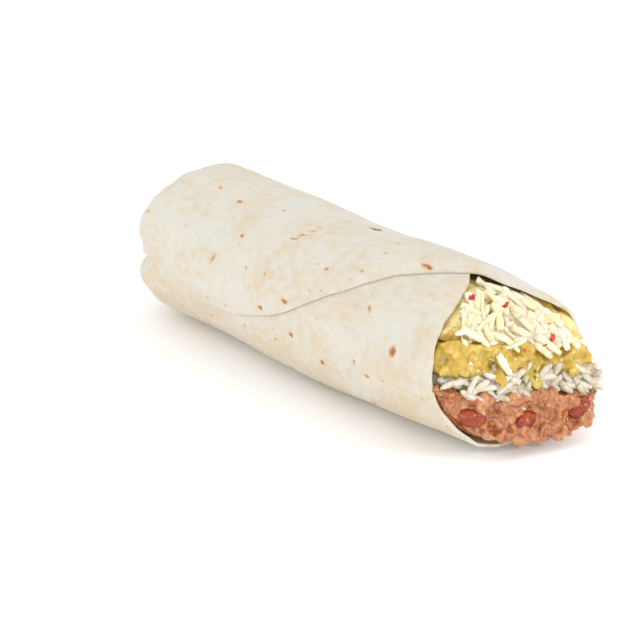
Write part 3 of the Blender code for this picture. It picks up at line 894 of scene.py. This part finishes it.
def build_fillings():
    wall = tree_of(solids["tortilla"])
    paste, skin, jelly = bean_paste(), bean_skin(), green_chile_sauce("green_chile_sauce", soaked=False)
    rice_look, cheese_look = boiled_rice(), pale_cheese()
    herb = leaf_and_flake("chopped_coriander_leaf", "4E5A16", "8C8A2E", 0.4)
    chile = leaf_and_flake("red_chile_flake", "A81606", "E43C1C", 0.3)

    # the mash closes round its whole beans, so their pockets are filled before it is evened out
    beans = copy_of("refried_beans", "refried_bean_mash")
    pockets = [copy_of(name, name + "_pocket") for name in WHOLE_BEANS]
    pick(beans)
    for pocket in pockets:
        grown = corners(pocket.data)
        middle = grown.mean(0)
        move_corners(pocket.data, middle - (0.9, 0, 0) + (grown - middle) * 1.1)
        pocket.select_set(True)
    bpy.ops.object.join()
    remesh(beans, 1.0)
    refine_front(beans, 2)
    swell = corners(beans.data)
    swell[:, 0] += front_share(beans.data) * (
        0.6 + 1.2 * ease(0, 22, swell[:, 1]) + 2.8 * (1 - ease(5, 13, swell[:, 2])))
    move_corners(beans.data, swell)
    lump(beans, [(10, 4.0), (5, 4.6), (2.4, 1.5)])
    finish_piece(beans, paste, "refried_beans", "refried_beans")

    for name in WHOLE_BEANS:
        bean = copy_of(name, name + "_skin")
        smooth = bean.modifiers.new("smooth", "SUBSURF")
        smooth.levels = smooth.render_levels = 2
        cloud = bpy.data.textures.new(name, "CLOUDS")
        cloud.noise_scale = 3 * MM
        dents = bean.modifiers.new("dents", "DISPLACE")
        dents.texture = cloud
        dents.texture_coords = "LOCAL"
        dents.strength = 1.3 * MM
        apply_all(bean)
        bean.data.transform(Matrix.Translation((2.8 * MM if name == "whole_bean_right" else 1.3 * MM, 0, 0)))
        finish_piece(bean, skin, "bean_skin", name)

    rice_core = copy_of("rice", "rice_core")
    remesh(rice_core, 1.5)
    set_back(rice_core, 2.6)
    lump(rice_core, [(4, 1.6)])
    # painted shade: the core shows only in the gaps between the grains and gets a lower tint than any grain,
    # so it comes out darker
    paint(rice_core.data, "tint", np.full(len(rice_core.data.vertices), 0.1))
    finish_piece(rice_core, rice_look, "rice", "rice")

    sauce = copy_of("green_sauce", "green_sauce_layer")
    remesh(sauce, 1.2)
    refine_front(sauce, 1)
    run_down(sauce)
    lump(sauce, [(9, 5.5), (4, 5.0), (1.8, 1.0)])
    finish_piece(sauce, jelly, "green_sauce", "green_sauce")

    cheese_core = copy_of("shredded_cheese", "cheese_core")
    remesh(cheese_core, 1.5)
    fill_corner(cheese_core)
    lump(cheese_core, [(5, 3.5), (2.5, 1.6)])
    # painted shade: the lowest tint, meant as cheese in shade behind the shreds; the soaked sauce material on
    # this core does not read it
    paint(cheese_core.data, "tint", np.full(len(cheese_core.data.vertices), 0.0))
    finish_piece(cheese_core, green_chile_sauce("sauce_soaked_cheese", soaked=True), "shredded_cheese",
                 "shredded_cheese")

    # rice grains over the core's front
    grains = model_grains()
    rice_front = tree_of(solids["rice"])
    placements = []
    tries = 0
    while len(placements) < GRAINS and tries < GRAIN_TRIES:
        tries += 1
        spot = spot_on(rice_front, chance.uniform(-28, 31), chance.uniform(13, 30))
        if not spot:
            continue
        place, normal = spot
        slope = view_right * chance.choice((1, 1, -1)) - view_up * chance.uniform(-0.2, 1.1)
        along = slope + wobble(0.55)
        along -= normal * along.dot(normal) * chance.uniform(0.3, 0.9)
        which = chance.randrange(4)
        out = chance.uniform(-2.4, 1.5) * MM
        matrix = facing_matrix(place + normal * out + Vector((0, 0, chance.uniform(-1.5, 1.2) * MM)),
                               along, normal + wobble(0.4))
        if clear_of(wall, grains[which], matrix):
            placements.append((which, matrix, chance.uniform(0.3, 1.0)))
    scatter("rice_grains", grains, placements, rice_look, "rice")
    discard(grains)

    # cheese shreds, tumbled out of the mouth and mostly pointing out and down
    shreds = model_shreds()
    cheese_front = tree_of(cheese_core)
    placements = []
    tries = 0
    while len(placements) < SHREDS and tries < SHRED_TRIES:
        tries += 1
        spot = spot_on(cheese_front, chance.uniform(-23, 29), chance.uniform(28, 48))
        if not spot:
            continue
        place, normal = spot
        lie = view_right * 0.9 - view_up * chance.uniform(-0.1, 1.5) + wobble(0.55)
        if chance.random() < 0.22:
            lie = view_up + view_right * chance.uniform(-0.6, 0.9) + wobble(0.3)
        lie -= normal * lie.dot(normal) * chance.uniform(0.9, 1.0)
        which = chance.choice((0, 0, 1, 1, 2, 3, 4, 4, 5))
        out = chance.uniform(-1.0, 1.8) * MM
        matrix = facing_matrix(place + normal * out, lie, normal + wobble(0.5))
        if shows_whole(matrix, SHRED_LENGTHS[which]) and clear_of(wall, shreds[which], matrix):
            placements.append((which, matrix, chance.uniform(0.15, 1.0)))
    topping = [cheese_front, tree_of(sauce)]
    for index, (right_1, up_1, right_2, up_2) in enumerate(TOP_SHREDS):
        start, end = seen_at(topping, right_1, up_1), seen_at(topping, right_2, up_2)
        if start and end:
            which = index % 5
            along = end - start
            matrix = facing_matrix((start + end) / 2 + back * 1.7 * MM, along, back)
            matrix = matrix @ Matrix.Scale(along.length / (SHRED_LENGTHS[which] * MM), 4, (1, 0, 0))
            lies_flat = abs(along.dot(back)) < 0.6 * along.length
            in_sight = lies_flat and shows_whole(matrix, SHRED_LENGTHS[which])
            if in_sight and clear_of(wall, shreds[which], matrix):
                placements.append((which, matrix, 0.45 + 0.11 * (index % 5)))
    shredded = scatter("cheese_shreds", shreds, placements, cheese_look, "shredded_cheese")
    discard(shreds)

    # chopped coriander among the rice, and chile flakes on the cheese and sauce
    scraps = model_scraps(4, 3.0, 0.25)
    placements = []
    while len(placements) < SCRAPS:
        spot = spot_on(rice_front, chance.uniform(-26, 30), chance.uniform(14, 31))
        if spot:
            place, normal = spot
            matrix = facing_matrix(place + normal * chance.uniform(0.4, 2.2) * MM, wobble(1),
                                   normal + wobble(0.5))
            size = Matrix.Scale(chance.uniform(0.45, 1.0), 4)
            placements.append((chance.randrange(4), matrix @ size, 0.5))
    topping.append(tree_of(shredded))
    placements += lying_on(topping, HERB_SCRAPS)
    scatter("coriander_scraps", scraps, placements, herb, "green_sauce")
    scatter("chile_flakes", scraps, lying_on(topping, CHILE_FLAKES), chile, "bean_skin")
    discard(scraps)


# ---------------------------------------------------------------- everything

tortilla = roll_tortilla()
tortilla.data.materials.clear()
tortilla.data.materials.append(wheat_dough("griddled_flour_tortilla", greasy=False))
tortilla.data.materials.append(wheat_dough("flour_tortilla_inside", greasy=True))
apply_all(tortilla)
pick(tortilla)
bpy.ops.object.shade_smooth_by_angle(angle=math.radians(45))
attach(tortilla, "root")
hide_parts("tortilla")

build_fillings()

# ---------------------------------------------------------------- floor and light

deselect()
bpy.ops.mesh.primitive_plane_add(size=8)
floor = bpy.context.object
floor.name = "floor"
paper, paper_tree, paper_shader = new_material("white_paper_sweep")
paper_shader.inputs["Base Color"].default_value = linear("FFFFFF")
paper_shader.inputs["Roughness"].default_value = 0.9
floor.data.materials.append(paper)

world = bpy.data.worlds.new("soft_room")
world.use_nodes = True
world.node_tree.nodes["Background"].inputs["Color"].default_value = (1, 1, 1, 1)
world.node_tree.nodes["Background"].inputs["Strength"].default_value = 1.05
bpy.context.scene.world = world
bpy.context.scene.view_settings.view_transform = "Standard"

for name, place, size, watts in (
    ("overhead_softbox", (0.35, 0.35, 0.9), 0.7, 0.9),
    ("front_softbox", (0.85, -0.6, 0.55), 0.5, 1.6),
    ("left_softbox", (-0.45, -0.95, 0.35), 0.7, 2.9),
    ("small_lamp", (0.85, 0.3, 0.4), 0.1, 2.2),
):
    lamp = bpy.data.lights.new(name, "AREA")
    lamp.size = size
    lamp.energy = watts
    holder = bpy.data.objects.new(name, lamp)
    holder.location = place
    holder.rotation_euler = (AIM - Vector(place)).to_track_quat("-Z", "Y").to_euler()
    bpy.context.scene.collection.objects.link(holder)
